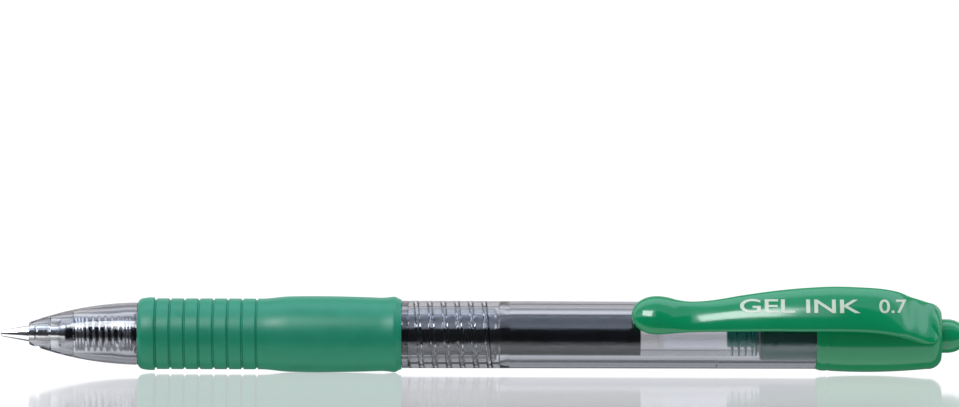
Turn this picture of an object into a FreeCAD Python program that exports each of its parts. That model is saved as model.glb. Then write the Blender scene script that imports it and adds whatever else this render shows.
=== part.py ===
import FreeCAD, Part
import math
import os

# A retractable gel pen, lying on its side with the tip out. Millimetres.
# Every sub-part is built about the X axis, with X = 0 at the very tip of the ball and X growing
# towards the push button. place() then moves it into the part's frame: the pen's middle at X = 0,
# the surface it lies on at Z = 0, and the clip rolled towards -Y.

V = FreeCAD.Vector

# ---- driving dimensions ----------------------------------------------------------------------
PEN_LENGTH = 141.9      # ball to button end, tip out
AXIS_Y = 1.86           # pen axis, so that the whole pen is centred on Y
AXIS_Z = 5.59           # pen axis above the surface: the grip's bulge rests on it
CLIP_ROLL = 64.0        # degrees from straight up towards -Y

RETRACT = 5.0           # travel of refill and button when the tip goes in
OVERPRESS = 1.2         # extra travel past the tip-out position while the button is held down

BALL_R = 0.35
BALL_GAP = 0.022        # ink film round the ball

# metal tip
SHELL_R = 1.15
SHELL_FRONT = 0.17
SHELL_CONE_END = 3.9
SHELL_REAR = 12.0

# plastic holder that joins the tip to the reservoir and carries the spring
HOLDER_FRONT = 8.8
HOLDER_R = 2.07
HOLDER_BORE_R = 0.65
FLANGE_FRONT = 19.7
FLANGE_REAR = 20.1
FLANGE_R = 3.0
HOLDER_REAR = 25.0

# reservoir
TUBE_R = 3.05
TUBE_BORE_R = 2.2
TUBE_REAR = 111.0
INK_REAR = 93.8
FOLLOWER_REAR = 97.3
PLUG_FRONT = 106.6

# return spring
WIRE_R = 0.225
COIL_R = 2.42
SPRING_FRONT = 10.9
SPRING_REAR = 19.65
DEAD_TURNS_FRONT = 3
ACTIVE_TURNS = 6
DEAD_TURNS_REAR = 3
DEAD_PITCH = 0.48

# clear front section
MOUTH = 4.2
MOUTH_BORE_R = 1.27
NOSE_R = 4.58
NOSE_REAR = 20.15
GRIP_SEAT_R = 4.2
GRIP_REAR = 58.9
SEAM = 59.8
TAIL_REAR = 72.8
TAIL_R = 3.92
GUIDE_R = 2.2
SPRING_SEAT = 10.85
CHAMBER_R = 2.95
REFILL_BORE_FRONT = 18.3
REFILL_BORE_R = 3.2

# screw thread between front section and barrel
PITCH = 2.0
THREAD_FRONT = 61.9
THREAD_TURNS = 5
THREAD_CREST_R = 4.25
THREAD_GAP = 0.09
SEAM_GAP = 0.03         # between the two end faces that meet when the pen is screwed together

# barrel
BARREL_R_FRONT = 4.95
BARREL_R_REAR = 4.88
BARREL_BORE_R = 3.65
SPIGOT_BORE_R = 3.68
SPIGOT_BORE_FRONT = 105.0
BARREL_REAR = 119.6

# rubber grip
GRIP_R = 5.2
GRIP_BEAD_R = 5.35
GRIP_BULGE_R = 5.6
GROOVE_FIRST = 22.8
GROOVE_STEP = 2.118
GROOVES = 8
GROOVE_WIDTH = 0.42
GROOVE_DEPTH = 0.24
GRIP_GAP = 0.05         # all round between the grip and the section that it sits on

# cap
CAP_REAR = 138.0
CAP_WALL = 136.2        # inner face of the cap's rear wall
CAP_HOLE_R = 2.58
CAP_SEAT_R = 4.0        # bore that the cam sleeve is pressed into
CAP_CAVITY_R = 3.4

# cam sleeve
SLEEVE_FRONT = 111.4
SLEEVE_REAR = 128.6
SLEEVE_SPIGOT_R = 3.66
SLEEVE_COUNTERBORE_R = 3.15
SLEEVE_COUNTERBORE_REAR = 117.0
SLOT_R = 2.95           # floor of the slots between the ribs
RIB_R = 2.15            # crest of the ribs
RIB_WIDTH = 1.8
RIB_FRONT = 118.9
RIB_REAR = 128.0
TOOTH_RISE = 0.9        # height of the slanted faces that turn the rotor
LOCKS = 4               # ribs, slots and rotor fins

# rotor
ROTOR_FRONT = 111.1
ROTOR_REAR = 118.6
ROTOR_HUB_R = 2.05
ROTOR_DISC_R = 2.55
FIN_R = 2.82
FIN_WIDTH = 1.2
FIN_FRONT = 114.2

# push button
CROWN_FRONT = 118.75
CROWN_BORE_R = 1.2
STEM_R = 2.0
STOP_R = 3.2
STOP_GAP = 0.2          # left between the button's flange and its two stops at full travel
STOP_FRONT = SLEEVE_REAR + OVERPRESS + STOP_GAP
STOP_REAR = CAP_WALL - RETRACT - STOP_GAP
KNOB_R = 2.48
SPLINE_FRONT = 121.0
SPLINE_REAR = 124.0
RATCHET_TEETH = 8
RATCHET_RISE = 0.5

# clip
HINGE_X = 133.9         # line that the clip bends about
HINGE_R = 5.5           # its height over the pen's axis
BEND_SLOPE = 36.0       # the clip's fall at that line, in degrees
HEEL_R = 0.85
HEEL_HALF_WIDTH = 3.32
SADDLE_HALF_WIDTH = 3.45
SOCKET_GAP = 0.07
# along the clip from its ball end to its root: place along the pen, height over the pen's axis,
# slope in degrees, half thickness, half width, squareness of the cross-section (2 is an ellipse),
# and how much the middle of the band is crowned over its long edges
CLIP_SECTIONS = [
    (92.45, 6.88, 0.0, 0.12, 0.20, 2.0, 0.0),
    (92.78, 6.88, 0.0, 0.84, 1.28, 2.0, 0.0),
    (93.65, 6.88, 0.0, 1.40, 2.22, 2.0, 0.0),
    (94.80, 6.88, 0.0, 1.74, 2.80, 2.0, 0.0),
    (96.20, 6.88, 0.0, 1.84, 3.00, 2.0, 0.0),
    (97.60, 6.78, -4.0, 1.56, 2.88, 2.1, 0.0),
    (99.20, 6.46, -7.0, 1.08, 2.60, 2.4, 0.1),
    (101.3, 6.36, -1.0, 0.68, 2.43, 2.6, 0.25),
    (104.5, 6.72, 7.0, 0.54, 2.53, 2.8, 0.45),
    (108.5, 7.56, 9.0, 0.52, 2.88, 3.0, 0.60),
    (113.0, 8.38, 8.0, 0.53, 3.20, 3.2, 0.70),
    (117.3, 8.87, 5.0, 0.54, 3.45, 3.4, 0.75),
    (122.0, 9.16, 1.0, 0.56, 3.57, 3.6, 0.75),
    (126.0, 8.94, -6.0, 0.60, 3.55, 3.6, 0.70),
    (129.0, 8.40, -14.0, 0.66, 3.56, 3.6, 0.50),
    (131.4, 7.40, -23.0, 0.75, 3.52, 3.5, 0.20),
    (133.0, 6.16, -31.0, 0.86, 3.36, 3.5, 0.0),
    (133.9, 5.55, -36.0, 0.84, 3.36, 3.5, 0.0),
    (135.3, 4.50, -37.0, 0.86, 3.38, 3.0, 0.0),
    (136.7, 3.70, -28.0, 0.86, 3.10, 2.6, 0.0),
]
SECTION_POINTS = 24


# ---- shared tools ----------------------------------------------------------------------------
def revolve(outline):
    """Turn a closed outline of (x, r) points, and of edges between them, into a solid about X.

    An item is a point, or a curve from the point before it: ("arc", middle, end), which runs
    through its middle, or ("bezier", pole, pole, end).
    """
    edges = []
    start = V(outline[0][0], 0, outline[0][1])
    here = start
    for item in outline[1:] + [outline[0]]:
        if item[0] == "arc":
            middle, end = [V(x, 0, r) for x, r in item[1:]]
            edges.append(Part.Arc(here, middle, end).toShape())
        elif item[0] == "bezier":
            poles = [V(x, 0, r) for x, r in item[1:]]
            curve = Part.BezierCurve()
            curve.setPoles([here] + poles)
            edges.append(curve.toShape())
            end = poles[-1]
        else:
            end = V(item[0], 0, item[1])
            edges.append(Part.makeLine(here, end))
        here = end
    face = Part.Face(Part.Wire(edges))
    return face.revolve(V(0, 0, 0), V(1, 0, 0), 360)


def rod(x0, x1, r):
    return Part.makeCylinder(r, x1 - x0, V(x0, 0, 0), V(1, 0, 0))


def tube(x0, x1, r_out, r_in):
    return rod(x0, x1, r_out).cut(rod(x0, x1, r_in))


def turned(shape, degrees):
    """A copy turned about the pen's axis."""
    copy = shape.copy()
    copy.rotate(V(0, 0, 0), V(1, 0, 0), degrees)
    return copy


def slanted_block(x0, x1, rise_front, rise_rear, width, r_in, r_out):
    """A block standing out from the axis, rounded to r_out, with a slanted front or rear face.

    Its front face leans forwards by rise_front across the width, its rear face backwards by
    rise_rear. The turned faces are the cam faces of a knock mechanism.
    """
    half = width / 2
    corners = [
        V(x0 - rise_front, -half, r_in),
        V(x1, -half, r_in),
        V(x1 + rise_rear, half, r_in),
        V(x0, half, r_in),
    ]
    base = Part.Face(Part.makePolygon(corners + [corners[0]]))
    block = base.extrude(V(0, 0, r_out))
    return block.common(rod(x0 - rise_front - 1, x1 + rise_rear + 1, r_out))


def all_round(shape, count):
    return [turned(shape, 360.0 * k / count) for k in range(count)]


def helix_ridge(x0, turns, r_base, r_crest, base_width, crest_width):
    """A trapezoid ridge that winds along X from x0, with the screw's pitch."""
    line = Part.makeHelix(PITCH, PITCH * turns, r_base)
    corners = [
        V(r_base, 0, -base_width / 2),
        V(r_crest, 0, -crest_width / 2),
        V(r_crest, 0, crest_width / 2),
        V(r_base, 0, base_width / 2),
    ]
    profile = Part.makePolygon(corners + [corners[0]])
    ridge = Part.Wire(line).makePipeShell([profile], True, True)
    ridge.rotate(V(0, 0, 0), V(0, 1, 0), 90)
    ridge.translate(V(x0, 0, 0))
    return ridge


def place(shape):
    """Move a sub-part from the pen's own axis into the part's frame."""
    moved = shape.copy()
    moved.translate(V(-PEN_LENGTH / 2, AXIS_Y, AXIS_Z))
    return moved


# ---- refill ----------------------------------------------------------------------------------
def writing_ball():
    return Part.makeSphere(BALL_R, V(BALL_R, 0, 0))


def tip_shell():
    socket = BALL_R + BALL_GAP
    channel = 0.2
    ring_groove = 5.36
    return revolve([
        (SHELL_FRONT, BALL_R - 0.025),
        (BALL_R - 0.05, socket - 0.002),
        (BALL_R + 0.1, socket),
        (2 * BALL_R + 0.06, channel),
        (2.2, channel),
        (2.6, HOLDER_BORE_R),
        (SHELL_REAR, HOLDER_BORE_R),
        (SHELL_REAR, SHELL_R),
        (ring_groove + 0.15, SHELL_R),
        (ring_groove, SHELL_R - 0.08),
        (ring_groove - 0.15, SHELL_R),
        (SHELL_CONE_END, SHELL_R),
        (SHELL_FRONT + 0.05, 0.44),
        (SHELL_FRONT, 0.40),
    ])


def tip_holder():
    chamfer = 0.3
    return revolve([
        (HOLDER_FRONT, SHELL_R),
        (SHELL_REAR, SHELL_R),
        (SHELL_REAR, HOLDER_BORE_R),
        (HOLDER_REAR, HOLDER_BORE_R),
        (HOLDER_REAR, TUBE_BORE_R - 0.2),
        (HOLDER_REAR - chamfer, TUBE_BORE_R),
        (FLANGE_REAR, TUBE_BORE_R),
        (FLANGE_REAR, FLANGE_R),
        (FLANGE_FRONT, FLANGE_R),
        (FLANGE_FRONT, HOLDER_R),
        (HOLDER_FRONT + chamfer, HOLDER_R),
        (HOLDER_FRONT, HOLDER_R - chamfer),
    ])


def refill_tube():
    return tube(FLANGE_REAR, TUBE_REAR, TUBE_R, TUBE_BORE_R)


def ink():
    return rod(HOLDER_REAR, INK_REAR, TUBE_BORE_R)


def ink_follower():
    return rod(INK_REAR, FOLLOWER_REAR, TUBE_BORE_R)


def tail_plug():
    """Ribbed stopper with an air hole, flush with the reservoir's rear end."""
    core_r = 1.75
    ribs = 4
    step = (TUBE_REAR - PLUG_FRONT) / (ribs + 0.5)
    solid = rod(PLUG_FRONT, TUBE_REAR, core_r)
    for k in range(ribs):
        x = PLUG_FRONT + step * (k + 0.5)
        solid = solid.fuse(rod(x, x + step / 2, TUBE_BORE_R))
    solid = solid.fuse(rod(TUBE_REAR - step / 2, TUBE_REAR, TUBE_BORE_R))
    return solid.cut(rod(PLUG_FRONT - 1, TUBE_REAR + 1, 0.6)).removeSplitter()


def return_spring():
    """Round wire with closed end coils and open working coils between them."""
    first = SPRING_FRONT + WIRE_R
    last = SPRING_REAR - WIRE_R
    dead = DEAD_PITCH * (DEAD_TURNS_FRONT + DEAD_TURNS_REAR)
    active_pitch = (last - first - dead) / ACTIVE_TURNS
    turns = DEAD_TURNS_FRONT + ACTIVE_TURNS + DEAD_TURNS_REAR
    per_turn = 16
    points = []
    x = first
    for k in range(turns * per_turn + 1):
        angle = 2 * math.pi * k / per_turn
        points.append(V(x, COIL_R * math.cos(angle), COIL_R * math.sin(angle)))
        turn = (k + 0.5) / per_turn
        active = DEAD_TURNS_FRONT <= turn < DEAD_TURNS_FRONT + ACTIVE_TURNS
        x += (active_pitch if active else DEAD_PITCH) / per_turn
    curve = Part.BSplineCurve()
    curve.interpolate(points)
    path = Part.Wire(curve.toShape())
    circle = Part.Wire(Part.makeCircle(WIRE_R, points[0], curve.tangent(curve.FirstParameter)[0]))
    return path.makePipeShell([circle], True, True)


# ---- front section, grip, barrel -------------------------------------------------------------
def front_section():
    """Clear nose, seat for the grip, collar and threaded tail, bored for refill and spring."""
    lip = 0.18
    body = revolve([
        (MOUTH, MOUTH_BORE_R),
        (7.2, MOUTH_BORE_R),
        (7.5, GUIDE_R),
        (SPRING_SEAT, GUIDE_R),
        (SPRING_SEAT, CHAMBER_R),
        (REFILL_BORE_FRONT - 0.25, CHAMBER_R),
        (REFILL_BORE_FRONT, REFILL_BORE_R),
        (TAIL_REAR, REFILL_BORE_R),
        (TAIL_REAR, TAIL_R - 0.3),
        (TAIL_REAR - 0.3, TAIL_R),
        (SEAM, TAIL_R),
        (SEAM, BARREL_R_FRONT),
        (GRIP_REAR, BARREL_R_FRONT),
        (GRIP_REAR, GRIP_SEAT_R),
        (NOSE_REAR, GRIP_SEAT_R),
        (NOSE_REAR, NOSE_R - 0.05),
        (NOSE_REAR - 0.3, NOSE_R),
        ("arc", (10.7, 3.5), (MOUTH + lip, 1.70)),
        ("arc", (MOUTH + 0.04, 1.58), (MOUTH, 1.46)),
    ])
    ridge = helix_ridge(THREAD_FRONT, THREAD_TURNS, TAIL_R - 0.1, THREAD_CREST_R, 1.3, 0.7)
    return body.fuse(ridge)


def barrel():
    """Clear tube: threaded mouth at the front, plain bore, seat for the cam sleeve at the rear."""
    edge = 0.12
    front = SEAM + SEAM_GAP
    mouth_r = TAIL_R + 0.1
    mouth_rear = TAIL_REAR + 0.6
    body = revolve([
        (front, mouth_r),
        (mouth_rear, mouth_r),
        (mouth_rear + 0.5, BARREL_BORE_R),
        (SPIGOT_BORE_FRONT, BARREL_BORE_R),
        (SPIGOT_BORE_FRONT + 0.1, SPIGOT_BORE_R),
        (BARREL_REAR, SPIGOT_BORE_R),
        (BARREL_REAR, BARREL_R_REAR - edge),
        (BARREL_REAR - edge, BARREL_R_REAR),
        (front + edge, BARREL_R_FRONT),
        (front, BARREL_R_FRONT - edge),
    ])
    lead_in = 2
    start = THREAD_FRONT - lead_in * PITCH
    turns = THREAD_TURNS + lead_in + 0.4
    width = 2 * THREAD_GAP
    groove = helix_ridge(
        start, turns, mouth_r - 0.1, THREAD_CREST_R + THREAD_GAP, 1.42 + width, 0.72 + width
    )
    return body.cut(groove)


def grip_sleeve():
    """Rubber sleeve: front bead, ring grooves, a long swelling and a rear bead."""
    front = NOSE_REAR + GRIP_GAP
    rear = GRIP_REAR - GRIP_GAP
    bore_r = GRIP_SEAT_R + GRIP_GAP
    outline = [
        (front, bore_r),
        (rear, bore_r),
        (rear, GRIP_R - 0.1),
        (rear - 0.5, GRIP_R + 0.1),
        ("arc", (rear - 0.85, GRIP_R + 0.3), (rear - 1.3, GRIP_R + 0.34)),
        ("arc", (rear - 2.2, GRIP_R + 0.22), (rear - 3.4, GRIP_R + 0.2)),
        ("bezier", (50.5, GRIP_BULGE_R), (45.5, GRIP_BULGE_R + 0.03), (42.5, GRIP_BULGE_R - 0.06)),
        ("bezier", (41.0, GRIP_BULGE_R - 0.1), (39.6, GRIP_R), (38.3, GRIP_R)),
        (24.0, GRIP_R),
        ("arc", (22.3, GRIP_BEAD_R), (21.0, GRIP_BEAD_R - 0.12)),
        ("arc", (20.4, 4.95), (front, 4.65)),
    ]
    solid = revolve(outline)
    for k in range(GROOVES):
        x = GROOVE_FIRST + GROOVE_STEP * k
        cutter = tube(x - GROOVE_WIDTH / 2, x + GROOVE_WIDTH / 2, GRIP_R + 1, GRIP_R - GROOVE_DEPTH)
        solid = solid.cut(cutter)
    return solid


# ---- cap, cam sleeve, rotor, button ----------------------------------------------------------
def clip_cylinder(radius, half_width):
    """A cylinder lying across the pen along the line that the clip bends about."""
    return Part.makeCylinder(radius, 2 * half_width, V(HINGE_X, -half_width, HINGE_R), V(0, 1, 0))


def clip_saddle():
    """The cap's share of the clip's root: its rear end, and a seat that fills in below the bend."""
    outline = [
        V(131.6, 0, 3.9),
        V(131.6, 0, 4.6),
        V(132.7, 0, 4.85),
        V(134.0, 0, 5.2),
        V(135.2, 0, 4.6),
        V(136.4, 0, 3.9),
    ]
    face = Part.Face(Part.makePolygon(outline + [outline[0]]))
    seat = face.extrude(V(0, 2 * SADDLE_HALF_WIDTH, 0))
    seat.translate(V(0, -SADDLE_HALF_WIDTH, 0))
    return seat.fuse(clip_loft().cut(ahead_of_bend()))


def rear_cap():
    rim = 0.6
    shell = revolve([
        (BARREL_REAR, CAP_SEAT_R),
        (SLEEVE_REAR, CAP_SEAT_R),
        (SLEEVE_REAR, CAP_CAVITY_R),
        (CAP_WALL, CAP_CAVITY_R),
        (CAP_WALL, CAP_HOLE_R),
        (CAP_REAR, CAP_HOLE_R),
        (CAP_REAR, 3.65),
        ("arc", (137.4, 4.42), (135.9, 4.86)),
        ("arc", (127.0, 5.32), (121.6, 5.17)),
        (121.3, 5.08),
        (121.0, 5.15),
        (BARREL_REAR + rim, 5.12),
        (BARREL_REAR, 4.92),
    ])
    inside = rod(SLEEVE_REAR - 1, CAP_REAR + 1, CAP_CAVITY_R + 0.4)
    saddle = clip_saddle().cut(inside)
    socket = clip_cylinder(HEEL_R + SOCKET_GAP, SADDLE_HALF_WIDTH + 1)
    relief = clip_loft().common(ahead_of_bend())
    relief.translate(V(-SOCKET_GAP, 0, -2 * SOCKET_GAP))
    room = turned(socket.fuse(relief), CLIP_ROLL)
    return shell.fuse(turned(saddle, CLIP_ROLL)).cut(room)


def cam_sleeve():
    """Guide pressed into barrel and cap; its ribs turn the rotor and hold it."""
    body = revolve([
        (SLEEVE_FRONT, SLEEVE_COUNTERBORE_R),
        (SLEEVE_COUNTERBORE_REAR, SLEEVE_COUNTERBORE_R),
        (SLEEVE_COUNTERBORE_REAR + 0.2, SLOT_R),
        (SLEEVE_REAR, SLOT_R),
        (SLEEVE_REAR, CAP_SEAT_R),
        (BARREL_REAR, CAP_SEAT_R),
        (BARREL_REAR, SLEEVE_SPIGOT_R),
        (SLEEVE_FRONT + 0.4, SLEEVE_SPIGOT_R),
        (SLEEVE_FRONT, SLEEVE_SPIGOT_R - 0.2),
    ])
    rib = slanted_block(
        RIB_FRONT + TOOTH_RISE, RIB_REAR, TOOTH_RISE, 0, RIB_WIDTH, 0.5, SLOT_R + 0.2
    )
    rib = rib.cut(rod(RIB_FRONT - 1, RIB_REAR + 1, RIB_R))
    for one in all_round(turned(rib, 180.0 / LOCKS), LOCKS):
        body = body.fuse(one)
    return body.removeSplitter()


def rotor():
    """Indexing cam: a disc that pushes the refill, and fins that run in the sleeve's slots."""
    solid = rod(ROTOR_FRONT, ROTOR_REAR - RATCHET_RISE, ROTOR_HUB_R)
    solid = solid.fuse(rod(ROTOR_FRONT, ROTOR_FRONT + 1.2, ROTOR_DISC_R))
    fin = slanted_block(
        FIN_FRONT, ROTOR_REAR - TOOTH_RISE, 0, TOOTH_RISE, FIN_WIDTH, 0.5, FIN_R
    )
    fin = fin.cut(rod(FIN_FRONT - 1, ROTOR_REAR + 1, CROWN_BORE_R))
    tooth = slanted_block(
        ROTOR_REAR - 1, ROTOR_REAR - RATCHET_RISE, 0, RATCHET_RISE, 0.85, 0.5, ROTOR_HUB_R
    )
    tooth = tooth.cut(rod(ROTOR_FRONT, ROTOR_REAR + 1, CROWN_BORE_R))
    for one in all_round(fin, LOCKS) + all_round(turned(tooth, 22.5), RATCHET_TEETH):
        solid = solid.fuse(one)
    return solid.removeSplitter()


def push_button():
    dome = 3.0
    solid = revolve([
        (CROWN_FRONT + RATCHET_RISE, CROWN_BORE_R),
        (SPLINE_REAR, CROWN_BORE_R),
        (SPLINE_REAR + 0.7, 0),
        (PEN_LENGTH, 0),
        (
            "bezier",
            (PEN_LENGTH, 0.56 * KNOB_R),
            (PEN_LENGTH - 0.45 * dome, KNOB_R),
            (PEN_LENGTH - dome, KNOB_R),
        ),
        (STOP_REAR, KNOB_R),
        (STOP_REAR, STOP_R),
        (STOP_FRONT, STOP_R),
        (STOP_FRONT, STEM_R),
        (CROWN_FRONT + RATCHET_RISE, STEM_R),
    ])
    tooth = slanted_block(
        CROWN_FRONT + RATCHET_RISE, CROWN_FRONT + 1, RATCHET_RISE, 0, 0.85, 0.5, STEM_R
    )
    tooth = tooth.cut(rod(CROWN_FRONT - 1, SPLINE_FRONT, CROWN_BORE_R))
    spline = slanted_block(SPLINE_FRONT, SPLINE_REAR, 0, 0, FIN_WIDTH - 0.1, STEM_R - 0.4, FIN_R)
    for one in all_round(tooth, RATCHET_TEETH) + all_round(spline, LOCKS):
        solid = solid.fuse(one)
    return solid.removeSplitter()


# ---- clip ------------------------------------------------------------------------------------
def clip_section(x, height, slope, half_thickness, half_width, squareness, crown):
    """One closed cross-section of the clip, square to its own slope and arched by its crown."""
    lean = math.radians(slope)
    up = V(-math.sin(lean), 0, math.cos(lean))
    points = []
    for k in range(SECTION_POINTS):
        angle = 2 * math.pi * k / SECTION_POINTS
        c, s = math.cos(angle), math.sin(angle)
        across = half_width * math.copysign(abs(c) ** (2 / squareness), c)
        outward = half_thickness * math.copysign(abs(s) ** (2 / squareness), s)
        outward += crown * (1 - (across / half_width) ** 2)
        points.append(V(x, across, height) + up * outward)
    curve = Part.BSplineCurve()
    curve.interpolate(points, PeriodicFlag=True)
    return Part.Wire(curve.toShape())


def clip_loft():
    """The whole clip from its ball to where it runs into the cap's rear corner."""
    return Part.makeLoft([clip_section(*row) for row in CLIP_SECTIONS], True, False)


def ahead_of_bend():
    """Everything in front of the plane through the bend line that is square to the clip."""
    reach = 60
    block = Part.makeBox(reach, reach, reach, V(HINGE_X - reach, -reach / 2, HINGE_R - reach / 2))
    block.rotate(V(HINGE_X, 0, HINGE_R), V(0, 1, 0), BEND_SLOPE)
    return block


def pocket_clip():
    arm = clip_loft().common(ahead_of_bend()).fuse(clip_cylinder(HEEL_R, HEEL_HALF_WIDTH))
    return turned(arm, CLIP_ROLL)


# ---- write the sub-parts ---------------------------------------------------------------------
SUBPARTS = [
    front_section, grip_sleeve, barrel, rear_cap, cam_sleeve, pocket_clip, push_button, rotor,
    return_spring, refill_tube, ink, ink_follower, tail_plug, tip_holder, tip_shell, writing_ball,
]

os.makedirs("parts", exist_ok=True)
for build in SUBPARTS:
    solid = place(build())
    box = solid.BoundBox
    print(
        f"{build.__name__:14s} solids {len(solid.Solids)} valid {solid.isValid()} "
        f"volume {solid.Volume:9.3f}  x {box.XMin:7.2f} {box.XMax:7.2f} "
        f"y {box.YMin:6.2f} {box.YMax:6.2f} z {box.ZMin:6.2f} {box.ZMax:6.2f}"
    )
    solid.exportStep(f"parts/{build.__name__}.step")
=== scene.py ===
import math

import bmesh
import bpy
from mathutils import Matrix, Vector


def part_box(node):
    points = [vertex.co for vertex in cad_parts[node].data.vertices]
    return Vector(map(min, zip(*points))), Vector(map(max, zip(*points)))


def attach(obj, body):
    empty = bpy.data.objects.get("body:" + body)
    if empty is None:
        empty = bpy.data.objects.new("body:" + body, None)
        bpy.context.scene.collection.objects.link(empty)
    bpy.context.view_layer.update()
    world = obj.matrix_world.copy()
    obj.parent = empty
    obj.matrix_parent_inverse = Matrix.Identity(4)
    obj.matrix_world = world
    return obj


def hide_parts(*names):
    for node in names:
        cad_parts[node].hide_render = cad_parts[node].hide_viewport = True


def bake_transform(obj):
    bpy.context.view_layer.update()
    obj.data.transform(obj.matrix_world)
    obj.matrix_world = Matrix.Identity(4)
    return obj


# Looks of the retractable gel pen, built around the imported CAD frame.
# Shapes are written in the pen's own millimetres: u runs from 0 at the tip of the ball to the end
# of the push button, r is the distance from the pen's axis. at() turns them into the frame.

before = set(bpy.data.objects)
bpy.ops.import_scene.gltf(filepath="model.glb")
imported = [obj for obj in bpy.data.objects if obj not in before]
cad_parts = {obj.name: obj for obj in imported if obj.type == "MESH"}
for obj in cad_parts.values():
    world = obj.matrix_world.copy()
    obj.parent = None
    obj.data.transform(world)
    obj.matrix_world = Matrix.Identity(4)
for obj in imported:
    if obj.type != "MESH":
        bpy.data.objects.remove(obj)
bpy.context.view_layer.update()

MM = 0.001
TIP_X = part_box("writing_ball")[0].x
BARREL_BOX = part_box("barrel")
AXIS_Y = (BARREL_BOX[0].y + BARREL_BOX[1].y) / 2
AXIS_Z = (BARREL_BOX[0].z + BARREL_BOX[1].z) / 2
AROUND = 144             # segments round a turned piece
EDGE = 0.06              # fillet on moulded edges, mm


def at(u, y, z):
    """A point of the frame from pen coordinates: along the pen, and across from its axis."""
    return Vector((TIP_X + u * MM, AXIS_Y + y * MM, AXIS_Z + z * MM))


def span(node):
    """Where a CAD node starts and ends along the pen, in mm from the tip."""
    low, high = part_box(node)
    return (low.x - TIP_X) / MM, (high.x - TIP_X) / MM


# ---- driving dimensions, mm --------------------------------------------------------------------
PEN_LENGTH = span("push_button")[1]
MOUTH, TAIL_REAR = span("front_section")
GRIP_FRONT, GRIP_REAR = span("grip_sleeve")
BARREL_FRONT, BARREL_REAR = span("barrel")
CAP_FRONT, CAP_REAR = span("rear_cap")
TUBE_FRONT, TUBE_REAR = span("refill_tube")
INK_FRONT, INK_REAR = span("ink")
FOLLOWER_FRONT, FOLLOWER_REAR = span("ink_follower")
PLUG_FRONT, PLUG_REAR = span("tail_plug")
HOLDER_FRONT, HOLDER_REAR = span("tip_holder")
SHELL_FRONT = span("tip_shell")[0]
SPRING_FRONT, SPRING_REAR = span("return_spring")

BALL_R = 0.35
SHELL_R = 1.15
HOLDER_R = 2.07
HOLDER_BORE_R = 0.72
PIPE_REAR = 9.7          # end of the metal tip inside its holder
WET = 0.004              # contact that leaves no film of air, mm
FLANGE_R = 3.0
FLANGE_WIDTH = 0.4
TUBE_R = 3.05
TUBE_BORE_R = 2.2
WIRE_R = 0.225
COIL_R = 2.42
MOUTH_BORE_R = 1.27
NOSE_R = 4.58
GRIP_SEAT_R = 4.2
BARREL_R = 4.95
BARREL_R_REAR = 4.88
BARREL_BORE_R = 3.65
SPIGOT_BORE_R = 3.68
SPIGOT_BORE_FRONT = 105.0
SPRING_SEAT = 10.85
CHAMBER_R = 2.95
GUIDE_R = 2.2
REFILL_BORE_FRONT = 18.3
REFILL_BORE_R = 3.2
TAIL_R = 3.92
MOUTH_GAP = 0.1          # between the threaded tail and the barrel's mouth
PITCH = 2.0
THREAD_FRONT = 61.9
THREAD_TURNS = 5
THREAD_CREST_R = 4.25
THREAD_GAP = 0.09
THREAD_RIDGE = (0.26, 0.10)      # half its width at the foot and at the crest
THREAD_GROOVE = (0.40, 0.20)     # half its width at the mouth and at the bottom
THREAD_LEAD_IN = 3               # turns of groove in front of the ridge, to unscrew along
GRIP_R = 5.2
GRIP_BEAD_R = 5.35
GRIP_BULGE_R = 5.6
GROOVE_FIRST = 22.8
GROOVE_STEP = 2.118
GROOVES = 8
GROOVE_WIDTH = 0.42
GROOVE_DEPTH = 0.24
CAP_WALL = 136.2         # front face of the cap's end wall
CLIP_ROLL = 64.0         # degrees from straight up towards the camera's side


# ---- shared mesh tools -------------------------------------------------------------------------
def rounded(corners, radius=EDGE, steps=4):
    """A closed outline with every corner filleted, and a support point each side of the fillet.

    A corner is (u, r), or (u, r, its own fillet); a fillet of 0 keeps the point as it is.
    """
    points = []
    count = len(corners)
    for k, corner in enumerate(corners):
        here = Vector(corner[:2])
        size = corner[2] if len(corner) > 2 else radius
        back = Vector(corners[k - 1][:2]) - here
        ahead = Vector(corners[(k + 1) % count][:2]) - here
        if size <= 0 or back.length < 1e-6 or ahead.length < 1e-6:
            points.append(tuple(here))
            continue
        turn = back.angle(ahead)
        reach = min(size / math.tan(turn / 2), 0.4 * back.length, 0.4 * ahead.length)
        start = here + back.normalized() * reach
        end = here + ahead.normalized() * reach
        support = 0.35 * reach
        points.append(tuple(start + back.normalized() * min(support, 0.1 * back.length)))
        for j in range(steps + 1):
            t = j / steps
            bow = (1 - t) ** 2 * start + 2 * t * (1 - t) * here + t ** 2 * end
            points.append(tuple(bow))
        points.append(tuple(end + ahead.normalized() * min(support, 0.1 * ahead.length)))
    return points


def arc(first, middle, last, steps):
    """Points of the circle arc through three points, each kept as it is by rounded()."""
    ax, ay = first
    bx, by = middle
    cx, cy = last
    d = 2 * (ax * (by - cy) + bx * (cy - ay) + cx * (ay - by))
    a2, b2, c2 = ax * ax + ay * ay, bx * bx + by * by, cx * cx + cy * cy
    ox = (a2 * (by - cy) + b2 * (cy - ay) + c2 * (ay - by)) / d
    oy = (a2 * (cx - bx) + b2 * (ax - cx) + c2 * (bx - ax)) / d
    radius = math.hypot(ax - ox, ay - oy)
    begin = math.atan2(ay - oy, ax - ox)
    half = math.atan2(by - oy, bx - ox)
    finish = math.atan2(cy - oy, cx - ox)
    while half - begin > math.pi:
        half -= 2 * math.pi
    while half - begin < -math.pi:
        half += 2 * math.pi
    while finish - half > math.pi:
        finish -= 2 * math.pi
    while finish - half < -math.pi:
        finish += 2 * math.pi
    angles = [begin + (finish - begin) * k / steps for k in range(steps + 1)]
    return [(ox + radius * math.cos(a), oy + radius * math.sin(a), 0) for a in angles]


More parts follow.
